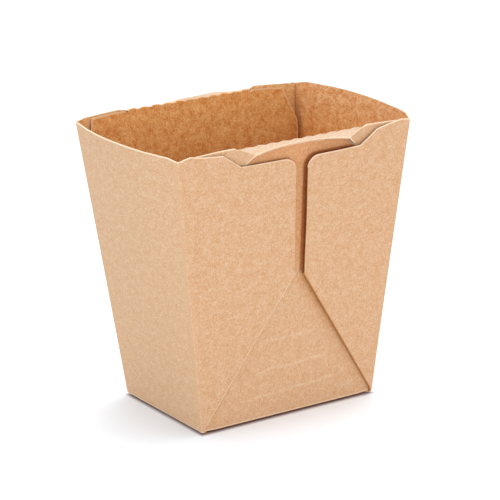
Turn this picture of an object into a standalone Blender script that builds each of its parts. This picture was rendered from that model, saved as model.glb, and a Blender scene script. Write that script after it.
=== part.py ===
"""Empty noodle takeaway box folded from kraft board, with both lids folded down inside it.

The box stands on its base, which is centred on the origin. The long walls face -Y (front) and +Y (back),
and the narrow walls face -X and +X. The back is the front turned half round about Z.
"""
import math

import bmesh
import bpy
from mathutils import Matrix, Vector

# Board and folded body, in metres, over the outermost layers
BOARD = 0.00045
HEIGHT = 0.100
BASE_LENGTH = 0.0703
BASE_DEPTH = 0.0514
TOP_LENGTH = 0.0918
TOP_DEPTH = 0.0692

# Rims of the walls
CREASE_LEVEL = 0.0998
CREASE_HALF = 0.025
CREASE_SHIFT = 0.0018
SHOULDER_RISE = 0.0010
SHOULDER_X = 0.0275
SIDE_RIM_LEVEL = 0.1008
SIDE_BULGE = 0.0048
NOTCH_LEVEL = 0.0996
NOTCH_REACH = 0.0040

# Slit below each crease, and the strip above it that has swung outwards
SLIT_HALF = 0.0218
SLIT_END_WIDTH = 0.0062
SLIT_KNEE_HALF = 0.0178
SLIT_KNEE_WIDTH = 0.0029
SLIT_MIDDLE_WIDTH = 0.0012
STRIP_TILT = math.radians(56)

# Corner webs, folded flat against the outside of the front and back walls
WEB_LAYERS = 2
WEB_SUNK = 0.0002
WEB_EDGE_INSET = 0.0001
WEB_PEAK_RISE = 0.0015
WEB_BUMP_X = 0.0363
WEB_BUMP_RISE = 0.0006
WEB_KNEE_X = 0.0308
WEB_STEP_X = 0.0236
WEB_STEP_LEVEL = 0.0945
WEB_ROUND = 0.0043
WEB_FOOT_LEVEL = 0.0004
WEB_FOOT_WIDTH = 0.0006
SLOT_LEFT = -0.0003
SLOT_RIGHT = 0.0025
SLOT_FOOT = 0.0520

# Lids
LID_GAP = 0.0006
LID_SET_IN = 0.0002
LID_ROOT = 0.00035
AXIS_RISE = 0.0003
LID_SHOULDER_HALF = 0.0400
LID_STEP = 0.0055
LID_STEP_OUT = 0.0008
LID_FLARE = 0.0130
LID_CLEARANCE = 0.0009
LID_PANEL = 0.054
LID_TAB_LENGTH = 0.0085
LID_TAB_HALF = 0.0195
LID_CORNER = 0.006

WALL_ROWS = 8
SIDE_COLUMNS = 14
TONGUE_COLUMNS = 12
ARC_STEPS = 6

SLOPE = math.atan((TOP_DEPTH - BASE_DEPTH) / 2 / HEIGHT)
WALL_INSET = (WEB_LAYERS + 0.5) * BOARD


def clear_scene():
    for item in list(bpy.data.objects):
        bpy.data.objects.remove(item, do_unlink=True)


def new_collection(name):
    collection = bpy.data.collections.new(name)
    bpy.context.scene.collection.children.link(collection)
    return collection


def kraft_material(name, colour):
    material = bpy.data.materials.new(name)
    material.use_nodes = True
    shader = material.node_tree.nodes["Principled BSDF"]
    shader.inputs["Base Color"].default_value = (*colour, 1.0)
    shader.inputs["Roughness"].default_value = 0.72
    shader.inputs["Metallic"].default_value = 0.0
    return material


def half_length(level):
    """Half the outer length at a level."""
    return (BASE_LENGTH + (TOP_LENGTH - BASE_LENGTH) * level / HEIGHT) / 2


def half_depth(level):
    """Half the outer depth at a level."""
    return (BASE_DEPTH + (TOP_DEPTH - BASE_DEPTH) * level / HEIGHT) / 2


def wall_frame(turn):
    """Frame of a long wall's outer plane: X along it, Y up its slope, Z outwards."""
    front = Matrix.Translation((0, -BASE_DEPTH / 2, 0)) @ Matrix.Rotation(math.pi / 2 + SLOPE, 4, "X")
    return Matrix.Rotation(turn, 4, "Z") @ front


def slope_of(level):
    """Distance up a long wall's slope at a level."""
    return level / math.cos(SLOPE)


def shoulder_level(x):
    """Level of a long wall's free rim, outside the crease."""
    x = abs(x - CREASE_SHIFT)
    if x < SHOULDER_X:
        share = (x - CREASE_HALF) / (SHOULDER_X - CREASE_HALF)
        return CREASE_LEVEL + SHOULDER_RISE * share
    share = (x - SHOULDER_X) / (half_length(HEIGHT) - SHOULDER_X)
    return CREASE_LEVEL + SHOULDER_RISE * (1 - 0.7 * share)


def strip_width(offset):
    """Width of the board between crease and slit, at a distance from the crease's middle."""
    offset = abs(offset)
    if offset > SLIT_KNEE_HALF:
        share = (offset - SLIT_KNEE_HALF) / (SLIT_HALF - SLIT_KNEE_HALF)
        return SLIT_KNEE_WIDTH + (SLIT_END_WIDTH - SLIT_KNEE_WIDTH) * share
    return SLIT_MIDDLE_WIDTH + (SLIT_KNEE_WIDTH - SLIT_MIDDLE_WIDTH) * (offset / SLIT_KNEE_HALF) ** 2


def spread(start, end, count):
    return [start + (end - start) * i / count for i in range(count + 1)]


def long_wall_columns():
    """Columns of the front wall from -X to +X: place along the rim and level of the top."""
    corner = half_length(HEIGHT)
    outer = [-SHOULDER_X, -CREASE_HALF, CREASE_HALF, SHOULDER_X]
    rim = [CREASE_SHIFT + offset for offset in outer] + [NOTCH_REACH - corner, corner - NOTCH_REACH]
    slit = [-SLIT_HALF] + spread(-SLIT_KNEE_HALF, SLIT_KNEE_HALF, TONGUE_COLUMNS) + [SLIT_HALF]
    columns = [(x, shoulder_level(x)) for x in rim]
    columns += [(CREASE_SHIFT + offset, CREASE_LEVEL - strip_width(offset)) for offset in slit]
    columns += [(-corner, NOTCH_LEVEL), (corner, NOTCH_LEVEL)]
    return sorted(columns)


def side_wall_columns():
    """Columns of the +X wall from front to back: share of the half depth and level of the top."""
    reach = NOTCH_REACH / half_depth(HEIGHT)
    middle = [(share, SIDE_RIM_LEVEL) for share in spread(-1 + reach, 1 - reach, SIDE_COLUMNS)]
    return [(-1.0, NOTCH_LEVEL)] + middle + [(1.0, NOTCH_LEVEL)]


def long_wall_point(x, level):
    share = x / half_length(HEIGHT)
    return Vector((share * (half_length(level) - BOARD / 2), WALL_INSET - half_depth(level), level))


def side_wall_point(share, level):
    swell = SIDE_BULGE * (1 - abs(share) ** 2.2) * (level / HEIGHT) ** 1.6
    return Vector((half_length(level) - BOARD / 2 + swell, share * (half_depth(level) - WALL_INSET), level))


def add_columns(mesh, columns, place, turn):
    """Grid of vertices for one wall, a list for each column from base to rim."""
    grid = []
    for along, top in columns:
        column = []
        for row in range(WALL_ROWS + 1):
            level = BOARD / 2 + (top - BOARD / 2) * row / WALL_ROWS
            column.append(mesh.verts.new(turn @ place(along, level)))
        grid.append(column)
    return grid


def skin_columns(mesh, grid):
    for left, right in zip(grid, grid[1:]):
        for row in range(WALL_ROWS):
            mesh.faces.new((left[row], right[row], right[row + 1], left[row + 1]))


def add_strip(mesh, crease_ends, slit_ends, turn):
    """Strip between crease and slit, swung out: a curved middle and a folded triangle at each end."""
    crease_row = [crease_ends[0]]
    edge_row = []
    for i, share in enumerate(spread(-1, 1, TONGUE_COLUMNS)):
        root = long_wall_point(CREASE_SHIFT + share * CREASE_HALF, CREASE_LEVEL)
        if 0 < i < TONGUE_COLUMNS:
            crease_row.append(mesh.verts.new(turn @ root))
        width = strip_width(share * SLIT_KNEE_HALF)
        edge = long_wall_point(CREASE_SHIFT + share * SLIT_KNEE_HALF, CREASE_LEVEL)
        edge += Vector((0, -width * math.sin(STRIP_TILT), -width * math.cos(STRIP_TILT)))
        edge_row.append(mesh.verts.new(turn @ edge))
    crease_row.append(crease_ends[1])
    for i in range(TONGUE_COLUMNS):
        mesh.faces.new((edge_row[i], edge_row[i + 1], crease_row[i + 1], crease_row[i]))
    mesh.faces.new((slit_ends[0], edge_row[0], crease_row[0]))
    mesh.faces.new((edge_row[-1], slit_ends[1], crease_row[-1]))


def body_sheet():
    """Open surface of base, four walls and two strips, along the middle of the board."""
    mesh = bmesh.new()
    long_columns = long_wall_columns()
    side_columns = side_wall_columns()
    places = [along for along, level in long_columns]
    base_loop = []
    for turn_angle in (0.0, math.pi):
        turn = Matrix.Rotation(turn_angle, 4, "Z")
        grid = add_columns(mesh, long_columns, long_wall_point, turn)
        skin_columns(mesh, grid)
        crease_ends = [grid[places.index(CREASE_SHIFT + x)][-1] for x in (-CREASE_HALF, CREASE_HALF)]
        slit_ends = [grid[places.index(CREASE_SHIFT + x)][-1] for x in (-SLIT_HALF, SLIT_HALF)]
        add_strip(mesh, crease_ends, slit_ends, turn)
        side = add_columns(mesh, side_columns, side_wall_point, turn)
        skin_columns(mesh, side)
        base_loop += [column[0] for column in grid[:-1] + side[:-1]]
    mesh.faces.new(base_loop[::-1])
    bmesh.ops.remove_doubles(mesh, verts=mesh.verts, dist=1e-6)
    bmesh.ops.recalc_face_normals(mesh, faces=mesh.faces)
    data = bpy.data.meshes.new("carton")
    mesh.to_mesh(data)
    mesh.free()
    return data


def arc(centre, radius, start, end, steps=ARC_STEPS):
    """Points of an arc, with angles in degrees."""
    angles = [math.radians(angle) for angle in spread(start, end, steps)]
    return [(centre[0] + radius * math.cos(a), centre[1] + radius * math.sin(a)) for a in angles]


def web_outline(slot_x):
    """Outline of the web that starts at the +X corner, in the wall's frame, counterclockwise."""
    corner_x = half_length(NOTCH_LEVEL) - WEB_EDGE_INSET
    foot_x = half_length(WEB_FOOT_LEVEL) - WEB_EDGE_INSET
    foot = slope_of(WEB_FOOT_LEVEL)
    crease = slope_of(CREASE_LEVEL)
    step = slope_of(WEB_STEP_LEVEL)
    outline = [(foot_x, foot), (corner_x, slope_of(NOTCH_LEVEL))]
    outline += [(corner_x - NOTCH_REACH, crease + WEB_PEAK_RISE), (WEB_BUMP_X, crease + WEB_BUMP_RISE)]
    outline += [(WEB_KNEE_X, crease), (WEB_STEP_X, step)]
    outline += arc((slot_x + WEB_ROUND, step - WEB_ROUND), WEB_ROUND, 90, 180)
    outline += [(slot_x, slope_of(SLOT_FOOT)), (foot_x - WEB_FOOT_WIDTH, foot)]
    return outline


def flat_curve(name, outline, thickness, collection, material):
    """Flat closed outline with a thickness, lying in its own XY plane."""
    data = bpy.data.curves.new(name, "CURVE")
    data.dimensions = "2D"
    data.fill_mode = "BOTH"
    data.extrude = thickness / 2
    data.render_resolution_u = 0
    spline = data.splines.new("POLY")
    spline.points.add(len(outline) - 1)
    for point, (x, y) in zip(spline.points, outline):
        point.co = (x, y, 0, 1)
    spline.use_cyclic_u = True
    data.materials.append(material)
    plate = bpy.data.objects.new(name, data)
    collection.objects.link(plate)
    return plate


def as_mesh(plate, collection):
    """Replace a curve object by its welded mesh."""
    graph = bpy.context.evaluated_depsgraph_get()
    data = bpy.data.meshes.new_from_object(plate.evaluated_get(graph))
    mesh = bmesh.new()
    mesh.from_mesh(data)
    bmesh.ops.remove_doubles(mesh, verts=mesh.verts, dist=1e-6)
    mesh.to_mesh(data)
    mesh.free()
    solid = bpy.data.objects.new(plate.name + "_solid", data)
    solid.matrix_world = plate.matrix_world.copy()
    collection.objects.link(solid)
    bpy.data.objects.remove(plate, do_unlink=True)
    return solid


def add_webs(collection, material):
    """The four folded corner webs, as plates sunk a little into the walls."""
    thickness = WEB_LAYERS * BOARD + WEB_SUNK
    plates = []
    for turn in (0.0, math.pi):
        for mirror, slot_x in ((1, SLOT_RIGHT), (-1, -SLOT_LEFT)):
            outline = [(mirror * x, y) for x, y in web_outline(slot_x)]
            plate = flat_curve("web", outline[::mirror], thickness, collection, material)
            plate.matrix_world = wall_frame(turn) @ Matrix.Translation((0, 0, -thickness / 2))
            plates.append(plate)
    bpy.context.view_layer.update()
    return [as_mesh(plate, collection) for plate in plates]


def add_carton(collection, helpers, material):
    """Base, walls and strips as one sheet of board, joined with the webs into one solid."""
    sheet = bpy.data.objects.new("carton_sheet", body_sheet())
    helpers.objects.link(sheet)
    thick = sheet.modifiers.new("board", "SOLIDIFY")
    thick.thickness = BOARD
    thick.offset = 0.0
    thick.use_even_offset = True
    webs = new_collection("webs")
    plates = add_webs(webs, material)
    union = sheet.modifiers.new("webs", "BOOLEAN")
    union.operation = "UNION"
    union.solver = "EXACT"
    union.operand_type = "COLLECTION"
    union.collection = webs
    bpy.context.view_layer.update()
    graph = bpy.context.evaluated_depsgraph_get()
    data = bpy.data.meshes.new_from_object(sheet.evaluated_get(graph))
    data.name = "carton"
    data.materials.clear()
    data.materials.append(material)
    for helper in [sheet] + plates:
        bpy.data.objects.remove(helper, do_unlink=True)
    bpy.data.collections.remove(webs)
    carton = bpy.data.objects.new("carton", data)
    collection.objects.link(carton)


def lid_half_width(reach):
    """Half width that clears the side walls, at a distance below the crease."""
    level = CREASE_LEVEL - reach * math.cos(SLOPE)
    return half_length(level) - BOARD - LID_CLEARANCE


def lid_root_dip(x):
    """Distance of the lid's upper edge below the hinge axis, where the board beside it was cut free."""
    return shoulder_level(x) - CREASE_LEVEL - AXIS_RISE + LID_ROOT


def lid_side(side):
    """One side of the lid from crease to tab, with its upper part moved along with the crease."""
    panel = lid_half_width(LID_PANEL)
    end = -LID_PANEL - LID_TAB_LENGTH
    bump_x = CREASE_SHIFT + side * SHOULDER_X
    shoulder_x = CREASE_SHIFT + side * LID_SHOULDER_HALF
    upper = [(CREASE_SHIFT + side * (CREASE_HALF - LID_ROOT), -LID_ROOT), (bump_x, -lid_root_dip(bump_x))]
    upper += [(shoulder_x, -lid_root_dip(shoulder_x)), (shoulder_x + side * LID_STEP_OUT, -LID_STEP)]
    lower = [(lid_half_width(LID_FLARE), -LID_FLARE)]
    lower += arc((panel - LID_CORNER, LID_CORNER - LID_PANEL), LID_CORNER, 0, -90)
    lower += arc((LID_TAB_HALF - LID_CORNER, end + LID_CORNER), LID_CORNER, 0, -90)
    return upper + [(side * x, y) for x, y in lower]


def lid_outline():
    """Lid outline hanging from its crease: Y is 0 on the hinge axis and negative down the wall."""
    return lid_side(-1) + lid_side(1)[::-1]


def add_lid(name, turn, collection, material):
    """Lid on an empty that marks its crease: the empty's X axis is the hinge axis."""
    crease = bpy.data.objects.new(name + "_crease", None)
    collection.objects.link(crease)
    axis_depth = (WEB_LAYERS + 1) * BOARD + LID_GAP / 2 + LID_SET_IN
    place = Matrix.Translation((0, slope_of(CREASE_LEVEL) + AXIS_RISE, -axis_depth))
    crease.matrix_world = wall_frame(turn) @ place
    lid = flat_curve(name, lid_outline(), BOARD, collection, material)
    lid.parent = crease
    lid.location = (0, 0, LID_SET_IN - (LID_GAP + BOARD) / 2)


def build():
    clear_scene()
    parts = new_collection("noodle_box")
    helpers = new_collection("helpers")
    outside = kraft_material("kraft_outside", (0.60, 0.40, 0.23))
    inside = kraft_material("kraft_lid", (0.52, 0.31, 0.15))
    add_carton(parts, helpers, outside)
    add_lid("front_lid", 0.0, parts, inside)
    add_lid("back_lid", math.pi, parts, inside)
    bpy.data.collections.remove(helpers)


build()
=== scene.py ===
"""Looks of an empty kraft noodle box, folded from one blank, with both lids folded down inside.

Lengths are in millimetres until a mesh is made. A long wall has its own coordinates: x along it,
v up its slope from the base, and w outwards from the plane of the outermost layer of board.
The back is the front turned half round about Z.
"""

import math

import bmesh
import bpy
import numpy as np
from mathutils import Matrix, Vector, noise


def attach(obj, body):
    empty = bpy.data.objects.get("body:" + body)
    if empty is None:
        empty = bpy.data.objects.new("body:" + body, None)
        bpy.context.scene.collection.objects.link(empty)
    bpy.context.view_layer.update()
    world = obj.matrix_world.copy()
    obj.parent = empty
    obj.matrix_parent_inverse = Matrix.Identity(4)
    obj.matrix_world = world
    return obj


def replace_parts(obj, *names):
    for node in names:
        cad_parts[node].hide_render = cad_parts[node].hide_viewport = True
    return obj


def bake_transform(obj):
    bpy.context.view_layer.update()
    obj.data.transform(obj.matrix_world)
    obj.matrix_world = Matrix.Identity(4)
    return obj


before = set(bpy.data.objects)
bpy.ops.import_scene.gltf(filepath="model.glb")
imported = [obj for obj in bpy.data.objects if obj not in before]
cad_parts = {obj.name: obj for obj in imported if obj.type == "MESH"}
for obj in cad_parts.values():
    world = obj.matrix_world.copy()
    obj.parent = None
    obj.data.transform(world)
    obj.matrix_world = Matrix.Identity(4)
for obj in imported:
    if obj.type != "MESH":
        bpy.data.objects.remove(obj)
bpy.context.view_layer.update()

MM = 0.001

# Folded body, over the outermost layers
BOARD = 0.45
HEIGHT = 100.0
BASE_LENGTH = 71.0
BASE_DEPTH = 51.4
TOP_LENGTH = 93.2
TOP_DEPTH = 69.2
SLOPE = math.atan((TOP_DEPTH - BASE_DEPTH) / 2 / HEIGHT)

# Middle of each layer at a long wall, from the outermost layer inwards
WEB_OUTER_W = -0.5 * BOARD
WEB_INNER_W = -1.5 * BOARD - 0.03
WALL_W = -2.5 * BOARD - 0.04
LID_W = -2.175

# The two long walls and their turn about Z
FRONT = 0
BACK = 1

# Rims and the lid crease, by wall and end: -1 at the lower x
CREST = {FRONT: 100.4, BACK: 101.75}
CREASE_SHIFT = 2.4
CREASE_ENDS = {(FRONT, -1): -23.4, (FRONT, 1): 26.6, (BACK, -1): -26.6, (BACK, 1): 26.6}
SHOULDER_RISE = {(FRONT, -1): 1.3, (FRONT, 1): 1.3, (BACK, -1): 1.6, (BACK, 1): 2.9}
SHOULDER_END = {(FRONT, -1): 5.6, (FRONT, 1): 1.5, (BACK, -1): 1.6, (BACK, 1): 2.9}
SHOULDER_HEIGHT = {(FRONT, -1): 0.75, (FRONT, 1): 0.75, (BACK, -1): 0.75, (BACK, 1): 0.35}
RIM_END = {FRONT: 100.2, BACK: 101.45}
RIM_REACH = 19.0
RIM_FALL = {(FRONT, -1): 0.9, (FRONT, 1): 0.0, (BACK, -1): 0.6, (BACK, 1): 0.6}
RIM_FALL_PLACES = (42.8, 46.0)

# Rims of the side walls and corners, by the signs of X and Y
SIDE_RIM = {-1: 100.4, 1: 101.0}
CORNER_RIM = {(-1, -1): 99.4, (1, -1): 99.6, (-1, 1): 100.1, (1, 1): 100.8}
CORNER_REACH = 4.0
WEB_RISE = 0.55
SIDE_RISE = 0.15
SIDE_RIM_RISE = 0.75
SIDE_NICKS = 0.12

# Perforation bumps along the crease
BUMP_PITCH = 4.8
BUMP_HEIGHT = 0.42

# Slit, and the strip between crease and slit that has swung outwards
SLIT_SETBACK = 2.2
SLIT_END_DROP = 6.1
KNEES = {(FRONT, -1): -17.6, (FRONT, 1): 19.6, (BACK, -1): -18.6, (BACK, 1): 20.0}
KNEE_WIDTH = 3.3
MIDDLE_WIDTH = 1.15
WIDTH_POWER = 2.2
STRIP_TILT = math.radians(56)
BACK_STRIP_TILT = 58
BACK_STRIP_TURN = 75
APEX_RADIUS = 0.35
APEX_W = LID_W + APEX_RADIUS
CREASE_END_BLEND = 1.0
STRIP_COLUMNS = 98
STRIP_PLACES = (0.0, 0.08, 0.3, 0.55, 0.8, 1.0)
STRIP_ROWS = len(STRIP_PLACES) - 1
CREASE_COLUMNS = 144
CREASE_ROWS = 10
LINE_STEPS = 6

# Tongue below the slit, raised on its right end and a little inside the wall's plane
TONGUE_HALF = 22.2
TONGUE_RISE = 1.5
TONGUE_DEPTHS = (0.2, 0.45)
SLIT_OPENING = 0.2

# Faint wrinkles across the front wall's foot, and their pale marks: height, tilt, left and right end
WRINKLES = ((28.8, 0.0, -12, 14), (18.2, 0.02, -17, 20), (9.0, 0.035, -25, 26))
WRINKLE_MARKS = ((27.3, 0.0, -14, 15), (16.7, 0.02, -20, 22), (7.5, 0.035, -27, 27))
WRINKLE_HEIGHT = 0.09
WRINKLE_WIDTH = 0.8

# Corner webs
SLOT_FOOT = 51.8
WEB_STEP = 94.5
WEB_ROUND = 4.4
FOLD_RADIUS = 0.235
WEB_FOOT = 0.5
LIFT_AT_FOLD = 0.45
LIFT_RISE = 24
LIFT_END = 40
LIFT_FADE = 30
PROFILE_STEP = 1.1
TUCK = 1.2
INNER_SETBACK = 1.1
INNER_SHIFT = 2.0
INNER_FEET = (3.4, 1.2)
INNER_DROPS = (1.3, 0.15)
WEBS = {
    "tight": {"slot": 0.8, "foot": -0.7, "lift": 0.28, "deep": (20, 25),
              "rim": ((22.6, 94.7), (29.7, 99.7), (36.6, 100.1), (41.9, 100.9))},
    "proud": {"slot": 3.4, "foot": 3.7, "lift": 1.15, "deep": (38, 42),
              "rim": ((24.9, 94.7), (31.9, 99.3), (37.4, 100.2), (42.9, 100.9))},
}

# Corner and base bends
CORNER_BEND_BASE = 0.45
CORNER_BEND_TOP = 0.8
BASE_BEND = 0.75
BASE_LIP = 1.1
FOOT_OUT = 0.45
BOW = 1.1
WALL_UNEVENNESS = 0.2
CORNER_PULL = 1.7
CORNER_PUSH = 0.7
PULL_START = -5
EDGE_WEAR = 0.28
MITRE_LIMIT = 1.3
SHARP_ANGLE = math.radians(38)

# Swell of the side walls at the rim
SWELL = {-1: 4.5, 1: 4.9}
SWELL_POWER = {-1: 2.1, 1: 2.4}
SWELL_LEAN = 0.07
SWELL_GROWTH = 1.6
SIDE_UNEVENNESS = 0.10

# Rows and columns of the sheets
WALL_ROWS = 90
WALL_COLUMNS = 76
COLUMN_GAP = 0.4
BASE_BENDS = 5
BASE_ROWS = 12
SIDE_ROWS = 72
SIDE_COLUMNS = 56
FOLD_ROWS = 5
CORNER_BENDS = 6
INNER_ROWS = 40

# Where a sheet's groups of materials start, each with outside, inside and cut edge
PLAIN = 0
# Pale rows: worn board, and a painted highlight on the rims, the base bends and the strip's free edge
WORN_AND_HIGHLIGHT = 3
STRIP = 6
TRIANGLE = 9
# Painted contact shadow at the foot of the long walls
CONTACT_SHADOW = 12

# The same in the side walls' sheets and in the crease's
# Painted shadow in gaps and under folds
SHADED_GAP = 6
# Painted shadow with warm bounce light on the proud web's fold
PROUD_FOLD_SHADOW = 9
# Painted highlight on the tight web's fold
RIDGE_HIGHLIGHT = 12
# Painted shadow line in the inner corners
CORNER_SHADOW = 15
# The lid's painted-shade colour on the crease's inner side
SHADED_BROWN = 3

# Lids
LID_SHIFT = {FRONT: 1.0, BACK: 0.5}
LID_SHOULDER_HALF = 40.3
LID_STAND_OFF = 2.4
LID_PANEL = 54.0
LID_TAB_LENGTH = 8.5
LID_TAB_HALF = 19.5
LID_CORNER = 6.0
LID_CLEARANCE = 0.9
LID_WIDENING = 0.27
LID_UNEVENNESS = 0.25
LID_TOP_REACH = 12
LID_ROWS = 40
LID_COLUMNS = 110

# Camera of the photograph
CAMERA_TARGET = (2.042, 0.0, 52.776)
CAMERA_DISTANCE = 853.0
CAMERA_AZIMUTH = math.radians(-32.269)
CAMERA_ELEVATION = math.radians(16.709)
CAMERA_ROLL = math.radians(-1.597)
CAMERA_LENS = 174.6

# Changes of a colour's channels, at a depth of 1
MOTTLE_LOW = (-0.052, -0.125, -0.23)
MOTTLE_HIGH = (0.047, 0.115, 0.25)
STROKE_PALE = (0.08, 0.21, 0.36)
STROKE_DARK = (-0.09, -0.19, -0.28)

# Fibre strokes: angle in degrees, and repeats along and across it
STROKES = ((22, 0.6, 2.1), (68, 0.7, 2.4), (-35, 0.6, 2.2), (-78, 0.65, 2.5))

# Factors of the board's colour: its specks and wrinkle marks, and painted shade in the recess, beside the
# proud fold, beside the slots and deep inside
SPECK_TINT = (0.5, 0.4, 0.3)
WRINKLE_TINT = (1.14, 1.34, 1.62)
RECESS_SHADE_TINT = (1.0, 0.82, 0.66)
FOLD_SHADOW_TINT = (0.88, 0.72, 0.55)
SLOT_SHADOW_TINT = (0.62, 0.4, 0.24)
SUNK_SHADE_TINT = (1.0, 0.78, 0.3)

# Extent of the shading in the materials
RECESS_MIDDLE = 2.3
RECESS_HALF = (19.5, 22.5)
FLAT_BASE_MIDDLE = 26.0
FOLD_SHADE = (0.3, 5.5)
SLOT_SHADES = {"tight": (-1, 0.5, 0.6), "proud": (1, 1.0, 0.75)}
SUNK_FOOT = 70
SUNK_TOP = 99

# Floor
FLOOR_HALF = 3.0
FLOOR_DROP = 0.0004
FLOOR_TONES = ((0.825, 0.85, 0.879), (0.843, 0.867, 0.896))
# Painted contact shadow on the floor right around the box's base
CONTACT_SHADOW_TINT = (0.5, 0.36, 0.33)


def smooth(value, start=0.0, end=1.0):
    """0 before start, 1 after end and a soft step between them."""
    t = min(max((value - start) / (end - start), 0.0), 1.0)
    return t * t * (3 - 2 * t)


def lerp(a, b, t):
    return a + (b - a) * t


def spread(start, end, count):
    return [start + (end - start) * i / count for i in range(count + 1)]


def half_length(level):
    return lerp(BASE_LENGTH, TOP_LENGTH, level / HEIGHT) / 2


def half_depth(level):
    return lerp(BASE_DEPTH, TOP_DEPTH, level / HEIGHT) / 2


def corner_bend(level):
    """Size of the rounding at the upright corners."""
    return lerp(CORNER_BEND_BASE, CORNER_BEND_TOP, level / HEIGHT)


def level_of(v, w=0.0):
    return v * math.cos(SLOPE) - w * math.sin(SLOPE)


def slope_of(level):
    return level / math.cos(SLOPE)


def wall_point(x, v, w, side=FRONT):
    """Point given in a long wall's coordinates, in the frame's axes."""
    point = np.array([x, -(BASE_DEPTH / 2 + v * math.sin(SLOPE) + w * math.cos(SLOPE)), level_of(v, w)])
    return point if side == FRONT else point * (-1, -1, 1)


def pulled(point):
    """The folded box isn't quite regular: at its top the back right corner is drawn in and the front
    right one out."""
    x, y, z = point
    share = max(x / (TOP_LENGTH / 2), 0) * max(z / HEIGHT, 0)
    push = CORNER_PUSH * smooth(-y, PULL_START, TOP_DEPTH / 2)
    move = push - CORNER_PULL * smooth(y, PULL_START, TOP_DEPTH / 2)
    return Vector((x + move * share, y, z))


def drift(a, b, seed, size):
    """Slow unevenness from -1 to 1, with waves about as long as size."""
    return noise.noise(Vector((a / size, b / size, seed)))


def bump(x):
    """Height of the perforation's bumps along the crease, from 0 in the dips to about 1."""
    phase = (x - CREASE_SHIFT) / BUMP_PITCH
    wave = 0.5 - 0.5 * math.cos(2 * math.pi * phase)
    uneven = 0.8 + 0.4 * noise.noise(Vector((math.floor(phase) * 3.7, 0.3, 9.1)))
    return wave ** 0.7 * uneven


def shoulder(x, side):
    """Rim of a long wall outside the crease, along the slope."""
    end = 1 if x > CREASE_SHIFT else -1
    reach = end * (x - CREASE_ENDS[side, end])
    top = CREST[side] + SHOULDER_HEIGHT[side, end] * smooth(reach, 0, SHOULDER_RISE[side, end])
    flat_end = SHOULDER_END[side, end]
    share = min(max((reach - flat_end) / (RIM_REACH - flat_end), 0.0), 1.0)
    fall = RIM_FALL[side, end] * smooth(abs(x), *RIM_FALL_PLACES)
    return lerp(top, RIM_END[side], 0.5 * share + 0.5 * smooth(share)) - fall


def strip_width(x, side):
    middle = (KNEES[side, -1] + KNEES[side, 1]) / 2
    share = min(abs(x - middle) / (KNEES[side, 1] - middle), 1.0)
    return MIDDLE_WIDTH + (KNEE_WIDTH - MIDDLE_WIDTH) * share ** WIDTH_POWER


def slit_marks(end, side):
    """Where the slit's knee, the slit's end and the crease's end are, at one end of a wall."""
    return KNEES[side, end], CREASE_ENDS[side, end] - end * SLIT_SETBACK, CREASE_ENDS[side, end]


def wall_top(x, side):
    """Top edge of a long wall's sheet: its rim, and the lower edge of the slit."""
    end = 1 if x > CREASE_SHIFT else -1
    knee, slit, crease = (end * mark for mark in slit_marks(end, side))
    raised = TONGUE_RISE * smooth(x - CREASE_SHIFT, 7, 14)
    place = end * x
    if place >= crease:
        return shoulder(x, side)
    if place >= slit:
        drop = SLIT_END_DROP * (crease - place) / (crease - slit)
    elif place >= knee:
        drop = lerp(SLIT_END_DROP, KNEE_WIDTH - raised, (slit - place) / (slit - knee))
    else:
        drop = strip_width(x, side) - raised
    return CREST[side] - drop - SLIT_OPENING * smooth(slit - place, 0, 2)


def tongue_dip(x, v):
    """How far the tongue below the slit lies inside the wall's plane."""
    offset = x - CREASE_SHIFT
    inside = smooth(TONGUE_HALF - abs(offset), 0, 3)
    depth = lerp(*TONGUE_DEPTHS, smooth(offset, -15, 20))
    return depth * inside * smooth(v, 84, 97)


def wrinkle(x, v):
    """Three faint wrinkles across the foot of the front wall."""
    total = 0.0
    for middle, tilt, left, right in WRINKLES:
        reach = smooth(x, left, left + 7) * smooth(right - x, 0, 7)
        away = v - middle - tilt * x
        total += WRINKLE_HEIGHT * reach * math.exp(-(away / WRINKLE_WIDTH) ** 2)
    return total


def stack_wave(x, v, side):
    """Bow and unevenness shared by all layers of a long wall, nothing at its edges."""
    half = half_length(level_of(v))
    inner = smooth(half - abs(x), 1, 12) * smooth(v, 1, 12) * (1 - smooth(v, 84, 93))
    bow = BOW * (1 - smooth(abs(x / half), 0.58, 1)) * max(v / HEIGHT, 0) ** 2
    return bow + WALL_UNEVENNESS * inner * drift(x, v, 3.1 + 7 * side, 26.0)


def web_lift(kind, x, v, diagonal):
    """How proud of the wall a web stands."""
    rise = lerp(LIFT_AT_FOLD, 1.0, smooth(v - diagonal, 0, LIFT_RISE))
    return WEBS[kind]["lift"] * smooth(LIFT_END - x, 0, LIFT_FADE) * rise


# Meshes

def sheet_object(name, patches, materials, thickness=BOARD):
    """Board from grids of middle points. Each patch has its points, its places on the flat board and the
    first of its three materials, which are for the outside, the inside and the cut edges."""
    mesh = bmesh.new()
    flat_layer = mesh.loops.layers.uv.new("board")
    for points, flat, finish in patches:
        columns, rows = points.shape[:2]
        grid = [[mesh.verts.new(pulled(points[c, r]) * MM) for r in range(rows)] for c in range(columns)]
        for c in range(columns - 1):
            for r in range(rows - 1):
                corners = ((c, r), (c + 1, r), (c + 1, r + 1), (c, r + 1))
                face = mesh.faces.new([grid[i][j] for i, j in corners])
                face.smooth = True
                face.material_index = int(finish if np.isscalar(finish) else finish[c, r])
                for loop, (i, j) in zip(face.loops, corners):
                    loop[flat_layer].uv = flat[i, j]
    bmesh.ops.remove_doubles(mesh, verts=mesh.verts, dist=0.01 * MM)
    thicken(mesh, flat_layer, thickness * MM)
    solid = bpy.data.meshes.new(name)
    mesh.to_mesh(solid)
    mesh.free()
    for material in materials:
        solid.materials.append(material)
    piece = bpy.data.objects.new(name, solid)
    bpy.context.scene.collection.objects.link(piece)
    solid.shade_smooth()
    solid.set_sharp_from_angle(angle=SHARP_ANGLE)
    return piece


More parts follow.
